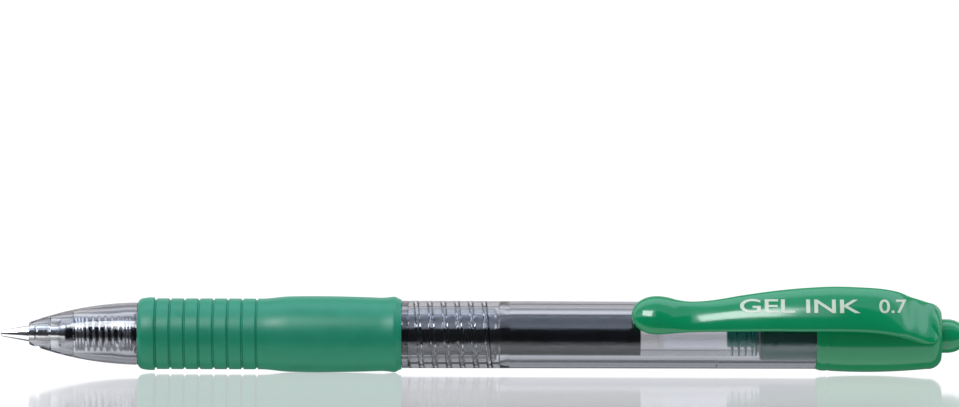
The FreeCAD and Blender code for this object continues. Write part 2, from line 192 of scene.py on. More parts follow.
def bezier(p0, p1, p2, p3, steps):
    """Points of a cubic curve, each kept as it is by rounded()."""
    points = []
    for k in range(steps + 1):
        t = k / steps
        s = 1 - t
        weights = (s ** 3, 3 * s * s * t, 3 * s * t * t, t ** 3)
        x = sum(w * p[0] for w, p in zip(weights, (p0, p1, p2, p3)))
        y = sum(w * p[1] for w, p in zip(weights, (p0, p1, p2, p3)))
        points.append((x, y, 0))
    return points


def run(u0, u1, r, step):
    """Evenly spaced points along a straight stretch, for a surface that is shaped further."""
    count = max(2, round(abs(u1 - u0) / step))
    return [(u0 + (u1 - u0) * k / count, r, 0) for k in range(count + 1)]


def finish_mesh(name, bm, sharp=40):
    """Turns a finished bmesh into an object, smooth except at edges sharper than sharp degrees."""
    bmesh.ops.remove_doubles(bm, verts=bm.verts, dist=1e-9)
    bmesh.ops.recalc_face_normals(bm, faces=bm.faces)
    mesh = bpy.data.meshes.new(name)
    bm.to_mesh(mesh)
    bm.free()
    mesh.shade_smooth()
    mesh.set_sharp_from_angle(angle=math.radians(sharp))
    obj = bpy.data.objects.new(name, mesh)
    bpy.context.scene.collection.objects.link(obj)
    return obj


def lathe(name, outline, shape=None, around=AROUND):
    """Turns a closed outline of (u, r) about the pen's axis; shape(u, r, angle) may move r."""
    bm = bmesh.new()
    add_lathe(bm, outline, shape, around)
    return finish_mesh(name, bm)


def add_lathe(bm, outline, shape=None, around=AROUND):
    """Adds a turned shape to a bmesh, closed from its last outline point back to its first."""
    rings = []
    for point in outline:
        u, r = point[0], point[1]
        if r < 1e-6:
            rings.append([bm.verts.new(at(u, 0, 0))])
            continue
        ring = []
        for k in range(around):
            angle = 2 * math.pi * k / around
            radius = shape(u, r, angle) if shape else r
            ring.append(bm.verts.new(at(u, radius * math.cos(angle), radius * math.sin(angle))))
        rings.append(ring)
    for here, there in zip(rings, rings[1:] + rings[:1]):
        for k in range(around):
            corners = [here[k % len(here)], here[(k + 1) % around % len(here)],
                       there[(k + 1) % around % len(there)], there[k % len(there)]]
            corners = list(dict.fromkeys(corners))
            if len(corners) > 2:
                bm.faces.new(corners)


def smooth(t):
    """0 below 0, 1 above 1, and an even S in between."""
    t = min(1.0, max(0.0, t))
    return t * t * (3 - 2 * t)


def thread_height(u, angle, half_base, half_crest, front, turns):
    """How much of a screw ridge or groove there is at a place on the cylinder, from 0 to 1."""
    turn = (angle + math.pi / 2) / (2 * math.pi) % 1.0
    nearest = round((u - front) / PITCH - turn)
    along = nearest + turn
    away = abs(u - front - along * PITCH)
    fade = smooth(along / 0.2) * smooth((turns - along) / 0.2)
    return fade * smooth((half_base - away) / (half_base - half_crest))


# ---- materials ---------------------------------------------------------------------------------
def node(tree, kind, inputs=None, **settings):
    """Adds a node; an input is a number, a colour, or the socket that feeds it."""
    made = tree.nodes.new(kind)
    for name, value in settings.items():
        setattr(made, name, value)
    for name, value in (inputs or {}).items():
        if isinstance(value, bpy.types.NodeSocket):
            tree.links.new(value, made.inputs[name])
        else:
            made.inputs[name].default_value = value
    return made


def blend_colours(tree, factor, a, b):
    """Mixes two colours, each given as numbers or as the socket that feeds it."""
    mixed = node(tree, "ShaderNodeMix", {"Factor": factor}, data_type="RGBA")
    for socket, value in ((6, a), (7, b)):
        if isinstance(value, bpy.types.NodeSocket):
            tree.links.new(value, mixed.inputs[socket])
        else:
            mixed.inputs[socket].default_value = (*value, 1)
    return mixed.outputs[2]


def even(scale):
    """A grain's scale that is the same in x, y and z."""
    return (scale, scale, scale)


def grain(tree, scale):
    """Noise from 0 to 1 whose cells are 1/scale metres long in x, y and z."""
    coordinates = node(tree, "ShaderNodeTexCoord")
    mapping = node(tree, "ShaderNodeMapping", {"Vector": coordinates.outputs["Object"]})
    mapping.inputs["Scale"].default_value = scale
    noise = node(tree, "ShaderNodeTexNoise", {"Vector": mapping.outputs["Vector"], "Scale": 1.0,
                                              "Detail": 3.0, "Roughness": 0.5})
    return noise.outputs["Fac"]


def spread(tree, value, low, high):
    """Stretches a noise value, which mostly lies from 0.3 to 0.7, so that it runs from low to high."""
    mapped = node(tree, "ShaderNodeMapRange", {"Value": value, "From Min": 0.3, "From Max": 0.7,
                                               "To Min": low, "To Max": high})
    return mapped.outputs["Result"]


def surface(name, colour, roughness, grains, other_colour=None, sockets=None):
    """A moulded, turned or drawn surface.

    roughness is (low, high); grains is a list of (scale, height in metres) that add up as relief.
    Roughness and colour drift in patches, from colour to other_colour.
    """
    material = bpy.data.materials.new(name)
    material.use_nodes = True
    tree = material.node_tree
    shader = tree.nodes["Principled BSDF"]
    shader.inputs["Base Color"].default_value = (*colour, 1)
    for socket, value in (sockets or {}).items():
        shader.inputs[socket].default_value = value
    patches = grain(tree, even(300))
    tree.links.new(spread(tree, patches, *roughness), shader.inputs["Roughness"])
    if other_colour:
        mixed = blend_colours(tree, spread(tree, patches, 0, 1), colour, other_colour)
        tree.links.new(mixed, shader.inputs["Base Color"])
    normal = None
    for scale, height in grains:
        relief = node(tree, "ShaderNodeBump", {"Height": grain(tree, scale), "Distance": height,
                                               "Strength": 1.0})
        if normal:
            tree.links.new(normal, relief.inputs["Normal"])
        normal = relief.outputs["Normal"]
    if normal:
        tree.links.new(normal, shader.inputs["Normal"])
    return material


def clear(name, tint, density, roughness, ior, grains):
    """Clear moulded plastic: light bends and fades in it, and flow lines ripple its surface.

    A metre of it takes (1 - tint) * density off the logarithm of each colour.
    """
    material = surface(name, (1, 1, 1), roughness, grains,
                       sockets={"Transmission Weight": 1.0, "IOR": ior})
    tree = material.node_tree
    haze = node(tree, "ShaderNodeVolumeAbsorption", {"Color": (*tint, 1), "Density": density})
    tree.links.new(haze.outputs[0], tree.nodes["Material Output"].inputs["Volume"])
    return material


FLOW = (60, 2500, 2500)      # long lines that run with the pen, as the melt flowed
RINGS = (9000, 60, 60)       # fine rings of a turned surface
FINE = even(5000)

CLEAR = clear("clear_plastic", (0.76, 0.76, 0.785), 1000, (0.0, 0.035), 1.5,
              [(FLOW, 1.2e-6), (even(900), 1.5e-6)])
REFILL = clear("refill_plastic", (0.90, 0.895, 0.92), 500, (0.03, 0.12), 1.48,
               [(FLOW, 2.5e-6), (even(1500), 2e-6)])
HOLDER = clear("holder_plastic", (0.90, 0.90, 0.92), 700, (0.02, 0.08), 1.49,
               [(FLOW, 3e-6), (FINE, 1e-6)])
GREASE = clear("follower_grease", (0.95, 0.93, 0.88), 300, (0.02, 0.08), 1.01,
               [(even(1200), 8e-6)])
RUBBER = surface("grip_rubber", (0.002, 0.228, 0.112), (0.34, 0.44),
                 [(even(6000), 6e-6), (even(900), 4e-6)],
                 other_colour=(0.005, 0.255, 0.130),
                 sockets={"Sheen Weight": 0.05, "Sheen Roughness": 0.5, "Specular IOR Level": 0.36})
GREEN = surface("green_plastic", (0.0, 0.248, 0.084), (0.11, 0.19),
                [(even(2500), 1.6e-6), (FLOW, 1.5e-6), (even(350), 6e-6)],
                other_colour=(0.0, 0.255, 0.088),
                sockets={"Specular IOR Level": 0.5, "Subsurface Weight": 0.06,
                         "Subsurface Scale": 0.0006})
DARK_GREEN = surface("dark_green_plastic", (0.03, 0.17, 0.125), (0.25, 0.45),
                     [(even(2500), 3e-6), (FLOW, 3e-6)], other_colour=(0.04, 0.21, 0.16))
ROTOR = surface("rotor_plastic", (0.62, 0.62, 0.60), (0.30, 0.45), [(FINE, 2e-6), (FLOW, 2e-6)],
                other_colour=(0.70, 0.70, 0.68))
TEAL = surface("plug_plastic", (0.01, 0.55, 0.42), (0.20, 0.38), [(even(2500), 2e-6)],
               other_colour=(0.05, 0.70, 0.55))
SPRING = surface("spring_steel", (0.55, 0.55, 0.58), (0.16, 0.30),
                 [(even(7000), 1.5e-6)], other_colour=(0.66, 0.66, 0.68),
                 sockets={"Metallic": 1.0})
METAL = surface("tip_metal", (0.86, 0.84, 0.80), (0.10, 0.20), [(RINGS, 1.2e-6), (FINE, 0.5e-6)],
                other_colour=(0.93, 0.92, 0.90), sockets={"Metallic": 1.0})
BALL = surface("ball_carbide", (0.30, 0.30, 0.32), (0.12, 0.22), [(even(20000), 0.5e-6)],
               other_colour=(0.42, 0.42, 0.44), sockets={"Metallic": 1.0})
PRINT = surface("clip_print", (0.55, 0.60, 0.42), (0.30, 0.45), [(even(3000), 1e-6)],
                other_colour=(0.60, 0.65, 0.46))
INK = surface("ink", (0.004, 0.004, 0.006), (0.25, 0.40), [(even(900), 8e-6)],
              other_colour=(0.008, 0.007, 0.012), sockets={"Specular IOR Level": 0.05})


def piece(obj, material, slot, body, *replaced):
    """Gives a piece its material, hides the CAD nodes that it replaces, and hangs it on the body that it
    rides on; slot is not used.
    """
    obj.data.materials.append(material)
    if replaced:
        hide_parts(*replaced)
    if body:
        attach(obj, body)


# ---- clear nose, grip seat and threaded tail ---------------------------------------------------
def front_section():
    seam = BARREL_FRONT - 0.03
    collar = GRIP_REAR + 0.05
    nose_rear = GRIP_FRONT - 0.05
    outline = [
        (MOUTH, MOUTH_BORE_R),
        (MOUTH + 3.0, MOUTH_BORE_R),
        (MOUTH + 3.3, GUIDE_R),
        (SPRING_SEAT, GUIDE_R),
        (SPRING_SEAT, CHAMBER_R),
        (REFILL_BORE_FRONT - 2.2, CHAMBER_R, 0.8),
        (REFILL_BORE_FRONT, REFILL_BORE_R, 0.8),
        (TAIL_REAR, REFILL_BORE_R),
        (TAIL_REAR, TAIL_R - 0.3),
        (TAIL_REAR - 0.3, TAIL_R, 0),
    ]
    outline += run(TAIL_REAR - 0.4, seam + 1.0, TAIL_R, 0.08)
    outline += [
        (seam, TAIL_R),
        (seam, BARREL_R),
        (collar, BARREL_R),
        (collar, GRIP_SEAT_R),
        (nose_rear, GRIP_SEAT_R),
        (nose_rear, NOSE_R - 0.05),
        (nose_rear - 0.3, NOSE_R, 0),
    ]
    outline += arc((nose_rear - 0.4, NOSE_R - 0.01), (10.7, 3.5), (MOUTH + 0.18, 1.70), 40)
    outline += arc((MOUTH + 0.12, 1.66), (MOUTH + 0.03, 1.57), (MOUTH, 1.46), 5)

    def threaded(u, r, angle):
        if abs(r - TAIL_R) > 0.01 or not seam + 0.9 < u < TAIL_REAR - 0.3:
            return r
        ridge = thread_height(u, angle, *THREAD_RIDGE, THREAD_FRONT, THREAD_TURNS)
        return r + (THREAD_CREST_R - TAIL_R) * ridge

    body = lathe("clear_front_section", rounded(outline), threaded)
    piece(body, CLEAR, "clear_plastic", "front", "front_section")


def barrel():
    mouth_r = TAIL_R + MOUTH_GAP
    mouth_rear = TAIL_REAR + 0.6
    groove_front = THREAD_FRONT - THREAD_LEAD_IN * PITCH
    groove_turns = THREAD_TURNS + THREAD_LEAD_IN + 0.4
    groove_depth = THREAD_CREST_R + THREAD_GAP - mouth_r
    outline = run(BARREL_FRONT + 0.2, mouth_rear - 0.1, mouth_r, 0.08)
    outline += [
        (mouth_rear - 0.4, mouth_r, 0.35),
        (mouth_rear + 1.3, BARREL_BORE_R, 0.35),
        (SPIGOT_BORE_FRONT, BARREL_BORE_R, 0.03),
        (SPIGOT_BORE_FRONT + 0.1, SPIGOT_BORE_R, 0.03),
        (BARREL_REAR, SPIGOT_BORE_R),
        (BARREL_REAR, BARREL_R_REAR, 0.12),
        (BARREL_FRONT, BARREL_R, 0.12),
        (BARREL_FRONT, mouth_r),
    ]

    def threaded(u, r, angle):
        if abs(r - mouth_r) > 0.01 or not BARREL_FRONT + 0.1 < u < mouth_rear - 0.05:
            return r
        return r + groove_depth * thread_height(u, angle, *THREAD_GROOVE, groove_front, groove_turns)

    body = lathe("clear_barrel", rounded(outline), threaded)
    piece(body, CLEAR, "clear_plastic", "root", "barrel")


# ---- rubber grip -------------------------------------------------------------------------------
def grip():
    bore_r = GRIP_SEAT_R + 0.05
    rear = GRIP_REAR
    lip = (rear - 0.5, GRIP_R + 0.1)
    bead = (rear - 1.3, GRIP_R + 0.34)
    neck = (rear - 3.4, GRIP_R + 0.2)
    bulge = (42.5, GRIP_BULGE_R - 0.06)
    ribs_rear = (38.3, GRIP_R)
    shoulder = (21.0, GRIP_BEAD_R - 0.12)
    outline = [(GRIP_FRONT, bore_r), (rear, bore_r), (rear, GRIP_R - 0.1, 0.1), (*lip, 0)]
    outline += arc(lip, (rear - 0.85, GRIP_R + 0.3), bead, 8)[1:]
    outline += arc(bead, (rear - 2.2, GRIP_R + 0.22), neck, 10)[1:]
    outline += bezier(neck, (50.5, GRIP_BULGE_R), (45.5, GRIP_BULGE_R + 0.03), bulge, 28)[1:]
    outline += bezier(bulge, (41.0, GRIP_BULGE_R - 0.1), (39.6, GRIP_R), ribs_rear, 16)[1:-1]
    half = GROOVE_WIDTH / 2
    for k in reversed(range(GROOVES)):
        middle = GROOVE_FIRST + GROOVE_STEP * k
        top = GRIP_R if k else GRIP_BEAD_R - 0.01
        outline += [
            (middle + half, GRIP_R, 0.12),
            (middle + 0.35 * half, GRIP_R - GROOVE_DEPTH, 0.08),
            (middle - 0.35 * half, GRIP_R - GROOVE_DEPTH, 0.08),
            (middle - half, top, 0.12),
        ]
    outline += arc((22.3, GRIP_BEAD_R), (21.7, GRIP_BEAD_R - 0.02), shoulder, 6)
    outline += arc(shoulder, (20.4, 4.95), (GRIP_FRONT, 4.65), 8)[1:]
    body = lathe("rubber_grip", rounded(outline, 0.08))
    piece(body, RUBBER, "grip_rubber", "grip", "grip_sleeve")


# ---- cap, button, clip -------------------------------------------------------------------------
def cap():
    cavity_r = 3.4
    seat_r = 4.0
    hole_r = 2.58
    end_r = 3.65
    shoulder = (135.9, 4.86)
    step = 121.3
    sleeve_rear = span("cam_sleeve")[1]
    outline = [
        (CAP_FRONT, seat_r),
        (sleeve_rear, seat_r),
        (sleeve_rear, cavity_r),
        (CAP_WALL, cavity_r),
        (CAP_WALL, hole_r),
        (CAP_REAR, hole_r, 0.1),
        (CAP_REAR, end_r, 0),
    ]
    outline += arc((CAP_REAR, end_r), (137.4, 4.42), shoulder, 14)[1:]
    outline += arc(shoulder, (127.0, 5.32), (step + 0.3, 5.17), 40)[1:]
    outline += [
        (step, 5.08, 0.12),
        (step - 0.3, 5.15, 0.1),
        (CAP_FRONT + 0.6, 5.12, 0.15),
        (CAP_FRONT, 4.92, 0.08),
    ]
    body = lathe("green_cap", rounded(outline))
    piece(body, GREEN, "green_plastic", "root", "rear_cap")


def fins(bm, u0, u1, r_in, r_out, width, count):
    """Straight fins that stand out from a round piece, evenly spaced."""
    for k in range(count):
        angle = 2 * math.pi * k / count
        out = Vector((0, math.cos(angle), math.sin(angle)))
        side = Vector((0, -math.sin(angle), math.cos(angle)))
        corners = []
        for u in (u0, u1):
            for r, w in ((r_in, -1), (r_in, 1), (r_out, 1), (r_out, -1)):
                place = out * r + side * w * width / 2
                corners.append(bm.verts.new(at(u, place.y, place.z)))
        for face in ((0, 1, 2, 3), (4, 5, 6, 7), (0, 1, 5, 4), (1, 2, 6, 5), (2, 3, 7, 6), (3, 0, 4, 7)):
            bm.faces.new([corners[j] for j in face])


def button():
    knob_r = 2.48
    stem_r = 2.0
    stop_r = 3.2
    bore_r = 1.2
    dome = 3.0
    front = span("push_button")[0]
    crown = front + 0.5
    guide_r = 2.8
    guide_front, guide_rear = 121.0, 124.0
    stop_front, stop_rear = 130.0, 131.0
    outline = [(crown, bore_r), (guide_rear, bore_r), (guide_rear + 0.7, 0, 0), (PEN_LENGTH, 0, 0)]
    outline += bezier((PEN_LENGTH, 0), (PEN_LENGTH, 0.56 * knob_r), (PEN_LENGTH - 0.45 * dome, knob_r),
                      (PEN_LENGTH - dome, knob_r), 24)[1:]
    outline += [
        (stop_rear, knob_r, 0.05),
        (stop_rear, stop_r, 0.08),
        (stop_front, stop_r, 0.08),
        (stop_front, stem_r, 0.05),
        (crown, stem_r, 0.05),
    ]
    bm = bmesh.new()
    add_lathe(bm, rounded(outline), around=96)
    fins(bm, guide_front, guide_rear, stem_r - 0.3, guide_r, 1.1, 4)
    fins(bm, front + 0.1, crown + 0.2, bore_r + 0.05, stem_r - 0.03, 0.6, 8)
    body = finish_mesh("green_push_button", bm)
    piece(body, GREEN, "green_plastic", "button", "push_button")


# along the clip: place, height over the axis, slope in degrees, half thickness, half width,
# squareness of the cross-section (2 is an ellipse), crown of the band over its long edges
CLIP_ROWS = [
    (92.45, 6.88, 0.0, 0.12, 0.20, 2.0, 0.0),
    (92.78, 6.88, 0.0, 0.84, 1.28, 2.0, 0.0),
    (93.65, 6.88, 0.0, 1.40, 2.22, 2.0, 0.0),
    (94.80, 6.88, 0.0, 1.74, 2.80, 2.0, 0.0),
    (96.20, 6.88, 0.0, 1.84, 3.00, 2.0, 0.0),
    (97.60, 6.78, -4.0, 1.56, 2.88, 2.1, 0.0),
    (99.20, 6.46, -7.0, 1.08, 2.60, 2.4, 0.1),
    (101.3, 6.36, -1.0, 0.68, 2.43, 2.6, 0.25),
    (104.5, 6.72, 7.0, 0.54, 2.53, 2.8, 0.45),
    (108.5, 7.56, 9.0, 0.52, 2.88, 3.0, 0.60),
    (113.0, 8.38, 8.0, 0.53, 3.20, 3.2, 0.70),
    (117.3, 8.87, 5.0, 0.54, 3.45, 3.4, 0.75),
    (122.0, 9.16, 1.0, 0.56, 3.57, 3.6, 0.75),
    (126.0, 8.94, -6.0, 0.60, 3.55, 3.6, 0.70),
    (129.0, 8.40, -14.0, 0.66, 3.56, 3.6, 0.50),
    (131.4, 7.40, -23.0, 0.75, 3.52, 3.5, 0.20),
    (133.0, 6.16, -31.0, 0.86, 3.36, 3.5, 0.0),
    (133.9, 5.55, -36.0, 0.84, 3.36, 3.5, 0.0),
    (135.3, 4.62, -37.0, 0.74, 3.38, 3.0, 0.0),
    (136.7, 4.12, -28.0, 0.44, 3.10, 2.6, 0.0),
    (137.3, 3.90, -24.0, 0.20, 2.40, 2.4, 0.0),
]
CLIP_STEPS = 7           # cross-sections from one row to the next
CLIP_AROUND = 96         # points round a cross-section

# the lettering: piece, text, and where it starts and ends along the pen
PRINTS = [
    ("clip_print", "GEL INK", 108.4, 125.6),
    ("clip_size_print", "0.7", 128.2, 132.2),
]
PRINT_LOW = 3.45         # its foot and its top over the pen's axis, as seen level
PRINT_HIGH = 5.45
PRINT_LIFT = 0.03        # off the clip's face


def clip_row(position):
    """The sizes at any place between two rows, on a smooth curve through the rows."""
    last = len(CLIP_ROWS) - 1
    k = min(int(position), last - 1)
    t = position - k
    rows = [CLIP_ROWS[min(max(j, 0), last)] for j in (k - 1, k, k + 1, k + 2)]
    gap = rows[2][0] - rows[1][0]
    values = []
    for p0, p1, p2, p3 in zip(*rows):
        slope1 = (p2 - p0) / (rows[2][0] - rows[0][0]) * gap
        slope2 = (p3 - p1) / (rows[3][0] - rows[1][0]) * gap
        values.append((2 * t ** 3 - 3 * t ** 2 + 1) * p1 + (t ** 3 - 2 * t ** 2 + t) * slope1
                      + (3 * t ** 2 - 2 * t ** 3) * p2 + (t ** 3 - t ** 2) * slope2)
    return values


def rolled(point):
    """A point of the frame from a point of the clip as it was before it was rolled."""
    return at(*(Matrix.Rotation(math.radians(CLIP_ROLL), 3, "X") @ point))


def clip_ring(position):
    """Points round the clip at one place, about the pen's axis and before it is rolled."""
    u, height, slope, half_thickness, half_width, squareness, crown = clip_row(position)
    lean = math.radians(slope)
    up = Vector((-math.sin(lean), 0, math.cos(lean)))
    points = []
    for k in range(CLIP_AROUND):
        angle = 2 * math.pi * k / CLIP_AROUND
        c, s = math.cos(angle), math.sin(angle)
        across = half_width * math.copysign(abs(c) ** (2 / squareness), c)
        outward = half_thickness * math.copysign(abs(s) ** (2 / squareness), s)
        outward += crown * (1 - (across / half_width) ** 2)
        points.append(Vector((u, across, height)) + up * outward)
    return points


def bend_with_clip(body):
    """Bakes the piece's placement into its mesh."""
    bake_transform(body)


def clip():
    """The clip's cross-sections, joined into one closed band and rolled towards the camera."""
    bm = bmesh.new()
    rings = []
    for k in range((len(CLIP_ROWS) - 1) * CLIP_STEPS + 1):
        rings.append([bm.verts.new(rolled(p)) for p in clip_ring(k / CLIP_STEPS)])
    for here, there in zip(rings, rings[1:]):
        for k in range(CLIP_AROUND):
            n = (k + 1) % CLIP_AROUND
            bm.faces.new([here[k], here[n], there[n], there[k]])
    bm.faces.new(rings[0])
    bm.faces.new(rings[-1])
    body = finish_mesh("green_clip", bm, 50)
    piece(body, GREEN, "green_plastic", None, "pocket_clip")
    bend_with_clip(body)


def clip_face(u, rise, lift):
    """A point on the clip's outer face: u along the pen, rise over the pen's axis as seen level."""
    low, high = 0.0, len(CLIP_ROWS) - 1.0
    for _ in range(30):
        middle = (low + high) / 2
        if clip_row(middle)[0] < u:
            low = middle
        else:
            high = middle
    _, height, slope, half_thickness, half_width, squareness, crown = clip_row(low)
    lean = math.radians(slope)
    roll = math.radians(CLIP_ROLL)
    across = 0.0
    for _ in range(12):
        edge = min(abs(across) / half_width, 1.0)
        outward = half_thickness * (1 - edge ** squareness) ** (1 / squareness)
        outward += crown * (1 - edge ** 2) + lift
        across = (rise - (height + outward * math.cos(lean)) * math.cos(roll)) / math.sin(roll)
    return rolled(Vector((u - outward * math.sin(lean), across, height + outward * math.cos(lean))))


def printed(text, u0, u1):
    """The mesh of plain lettering that follows the clip's outer face."""
    curve = bpy.data.curves.new("lettering", "FONT")
    curve.body = text
    curve.offset = 0.012
    flat = bpy.data.objects.new("lettering", curve)
    bm = bmesh.new()
    bm.from_mesh(flat.to_mesh())
    flat.to_mesh_clear()
    bpy.data.objects.remove(flat)
    bmesh.ops.triangulate(bm, faces=bm.faces[:])
    bmesh.ops.subdivide_edges(bm, edges=bm.edges[:], cuts=3, use_grid_fill=True)
    xs = [v.co.x for v in bm.verts]
    ys = [v.co.y for v in bm.verts]
    x0, x1, y0, y1 = min(xs), max(xs), min(ys), max(ys)
    for v in bm.verts:
        u = u0 + (v.co.x - x0) / (x1 - x0) * (u1 - u0)
        rise = PRINT_LOW + (v.co.y - y0) / (y1 - y0) * (PRINT_HIGH - PRINT_LOW)
        v.co = clip_face(u, rise, PRINT_LIFT)
    bmesh.ops.recalc_face_normals(bm, faces=bm.faces[:])
    return bm


def lettering():
    for name, words, u0, u1 in PRINTS:
        body = finish_mesh(name, printed(words, u0, u1))
        piece(body, PRINT, None, None)
        bend_with_clip(body)


# ---- refill ------------------------------------------------------------------------------------
def reservoir():
    body = lathe("refill_reservoir", rounded([
        (TUBE_FRONT, TUBE_BORE_R),
        (TUBE_REAR, TUBE_BORE_R),
        (TUBE_REAR, TUBE_R, 0.15),
        (TUBE_FRONT, TUBE_R, 0.15),
    ], 0.05))
    piece(body, REFILL, "refill_plastic", "refill", "refill_tube")


def ink():
    """A column that fills tube and holder, with a bowed rear face against the follower."""
    core_r = HOLDER_BORE_R + WET
    bore_r = TUBE_BORE_R + WET
    outline = [
        (PIPE_REAR + 0.1, 0, 0),
        (PIPE_REAR + 0.1, core_r, 0.05),
        (INK_FRONT, core_r, 0.05),
        (INK_FRONT, bore_r, 0.03),
    ]
    outline += arc((INK_REAR + 0.1, bore_r), (INK_REAR - 0.25, 1.5), (INK_REAR - 0.45, 0), 12)
    body = lathe("black_ink", rounded(outline))
    piece(body, INK, "ink", "refill", "ink")


def follower():
    rim_r = TUBE_BORE_R - 0.02
    front = (FOLLOWER_FRONT - 0.2, 0)
    outline = [(*front, 0)]
    outline += arc(front, (FOLLOWER_FRONT + 0.05, 1.5), (FOLLOWER_FRONT + 0.4, rim_r), 10)[1:]
    outline += arc((FOLLOWER_REAR, rim_r), (FOLLOWER_REAR - 0.5, 1.6), (FOLLOWER_REAR - 0.8, 0), 10)
    body = lathe("clear_follower", outline, around=96)
    piece(body, GREASE, "follower_grease", "refill", "ink_follower")


def tail_plug():
    core_r = 1.75
    ribs = 4
    rib_r = TUBE_BORE_R + WET
    hole_r = 0.6
    step = (PLUG_REAR - PLUG_FRONT) / (ribs + 0.5)
    outline = [(PLUG_REAR, hole_r), (PLUG_FRONT, hole_r), (PLUG_FRONT, core_r, 0.15)]
    for k in range(ribs):
        u = PLUG_FRONT + step * (k + 0.5)
        outline += [
            (u, core_r, 0.08),
            (u + 0.12, rib_r, 0.08),
            (u + step / 2 - 0.06, rib_r, 0.08),
            (u + step / 2, core_r, 0.08),
        ]
    last_rib = PLUG_REAR - step / 2 + 0.1
    outline += [(last_rib, core_r, 0.08), (last_rib + 0.1, rib_r, 0.08), (PLUG_REAR, rib_r, 0.08)]
    body = lathe("teal_tail_plug", rounded(outline), around=96)
    piece(body, TEAL, "plug_plastic", "refill", "tail_plug")


def holder():
    chamfer = 0.3
    neck_r = TUBE_BORE_R - 0.01
    flange_rear = TUBE_FRONT
    flange_front = flange_rear - FLANGE_WIDTH
    body = lathe("tip_holder_sleeve", rounded([
        (HOLDER_FRONT, SHELL_R - WET),
        (PIPE_REAR, SHELL_R - WET),
        (PIPE_REAR, HOLDER_BORE_R),
        (HOLDER_REAR, HOLDER_BORE_R),
        (HOLDER_REAR, TUBE_BORE_R - 0.2),
        (HOLDER_REAR - chamfer, neck_r),
        (flange_rear, neck_r),
        (flange_rear, FLANGE_R),
        (flange_front, FLANGE_R),
        (flange_front, HOLDER_R),
        (HOLDER_FRONT + chamfer, HOLDER_R),
        (HOLDER_FRONT, HOLDER_R - chamfer),
    ], 0.05))
    piece(body, HOLDER, "holder_plastic", "refill", "tip_holder")


def metal_tip():
    """A turned tube with a cone, a fine ring groove round it and a seat for the ball."""
    socket_r = BALL_R + 0.022
    channel_r = 0.2
    ring = 5.36
    body = lathe("metal_tip", rounded([
        (SHELL_FRONT, BALL_R - 0.025, 0.01),
        (BALL_R - 0.05, socket_r, 0.01),
        (2 * BALL_R + 0.06, channel_r, 0.02),
        (2.2, channel_r, 0.05),
        (2.6, HOLDER_BORE_R, 0.05),
        (PIPE_REAR, HOLDER_BORE_R, 0.05),
        (PIPE_REAR, SHELL_R, 0.05),
        (ring + 0.22, SHELL_R, 0.03),
        (ring + 0.06, SHELL_R - 0.09, 0.03),
        (ring - 0.06, SHELL_R - 0.09, 0.03),
        (ring - 0.22, SHELL_R, 0.03),
        (3.9, SHELL_R, 0.35),
        (SHELL_FRONT + 0.4, 0.52, 0.1),
        (SHELL_FRONT + 0.05, 0.44, 0.03),
        (SHELL_FRONT, 0.40, 0.02),
    ]), around=128)
    piece(body, METAL, "tip_metal", "refill", "tip_shell")


def ball():
    steps = 32
    turns = [math.pi * k / steps for k in range(steps + 1)]
    profile = [(BALL_R - BALL_R * math.cos(turn), BALL_R * math.sin(turn)) for turn in turns]
    body = lathe("tip_ball", profile, around=64)
    piece(body, BALL, "ball_carbide", "ball", "writing_ball")


def spring():
    """Round wire with closed end coils."""
    dead_pitch = 0.48
    dead = 3
    active = 6
    first = SPRING_FRONT + WIRE_R
    last = SPRING_REAR - WIRE_R
    pitch = (last - first - 2 * dead * dead_pitch) / active
    per_turn = 48
    round_wire = 14
    bm = bmesh.new()
    rings = []
    u = first
    for k in range((2 * dead + active) * per_turn + 1):
        angle = 2 * math.pi * k / per_turn
        out = Vector((0, math.cos(angle), math.sin(angle)))
        turn = (k + 0.5) / per_turn
        rise = (pitch if dead <= turn < dead + active else dead_pitch) / per_turn
        arc_step = COIL_R * 2 * math.pi / per_turn
        along = Vector((rise, -math.sin(angle) * arc_step, math.cos(angle) * arc_step)).normalized()
        side = along.cross(out)
        ring = []
        for j in range(round_wire):
            a = 2 * math.pi * j / round_wire
            place = Vector((u, 0, 0)) + out * (COIL_R + WIRE_R * math.cos(a)) + side * WIRE_R * math.sin(a)
            ring.append(bm.verts.new(at(*place)))
        rings.append(ring)
        u += rise
    for here, there in zip(rings, rings[1:]):
        for j in range(round_wire):
            n = (j + 1) % round_wire
            bm.faces.new([here[j], here[n], there[n], there[j]])
    bm.faces.new(rings[0])
    bm.faces.new(rings[-1])
    body = finish_mesh("steel_spring", bm, 50)
    piece(body, SPRING, "spring_steel", None, "return_spring")
    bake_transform(body)


def carried_over():
    """CAD nodes whose shape is right as it is: the knock mechanism inside cap and barrel."""
    for name, material in (("cam_sleeve", DARK_GREEN), ("rotor", ROTOR)):
        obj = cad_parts[name]
        obj.data.materials.clear()
        obj.data.materials.append(material)


# ---- studio ------------------------------------------------------------------------------------
CAMERA_BACK = 1.0        # metres from the pen's axis
CAMERA_SIDE = -0.00072   # metres beside the middle of the frame
CAMERA_UP = 0.01925      # metres over the pen's axis
CAMERA_ROLL = -0.17      # degrees
LENS = 255.7             # mm, on a 36 mm sensor

# How the room's light rises and falls: from, to and change, in degrees round the pen.
ROOM_LIGHT = [
    (20, 24, 1.4), (48, 58, -0.7), (74, 82, 1.5), (108, 116, -1.9),
    (132, 138, 0.6), (160, 167, -0.6), (173, 176, 0.7),
]
PANEL_FROM = (25.0, 50.0)        # where that light starts, left and right of the middle, degrees
PANEL_COLOUR = (0.92, 1.06, 1.30)
LOWER_PANEL = [(-110, -100, 1.2), (-39, -33, -1.3)]
ROOM_LOW = 0.17                  # under the lower panel
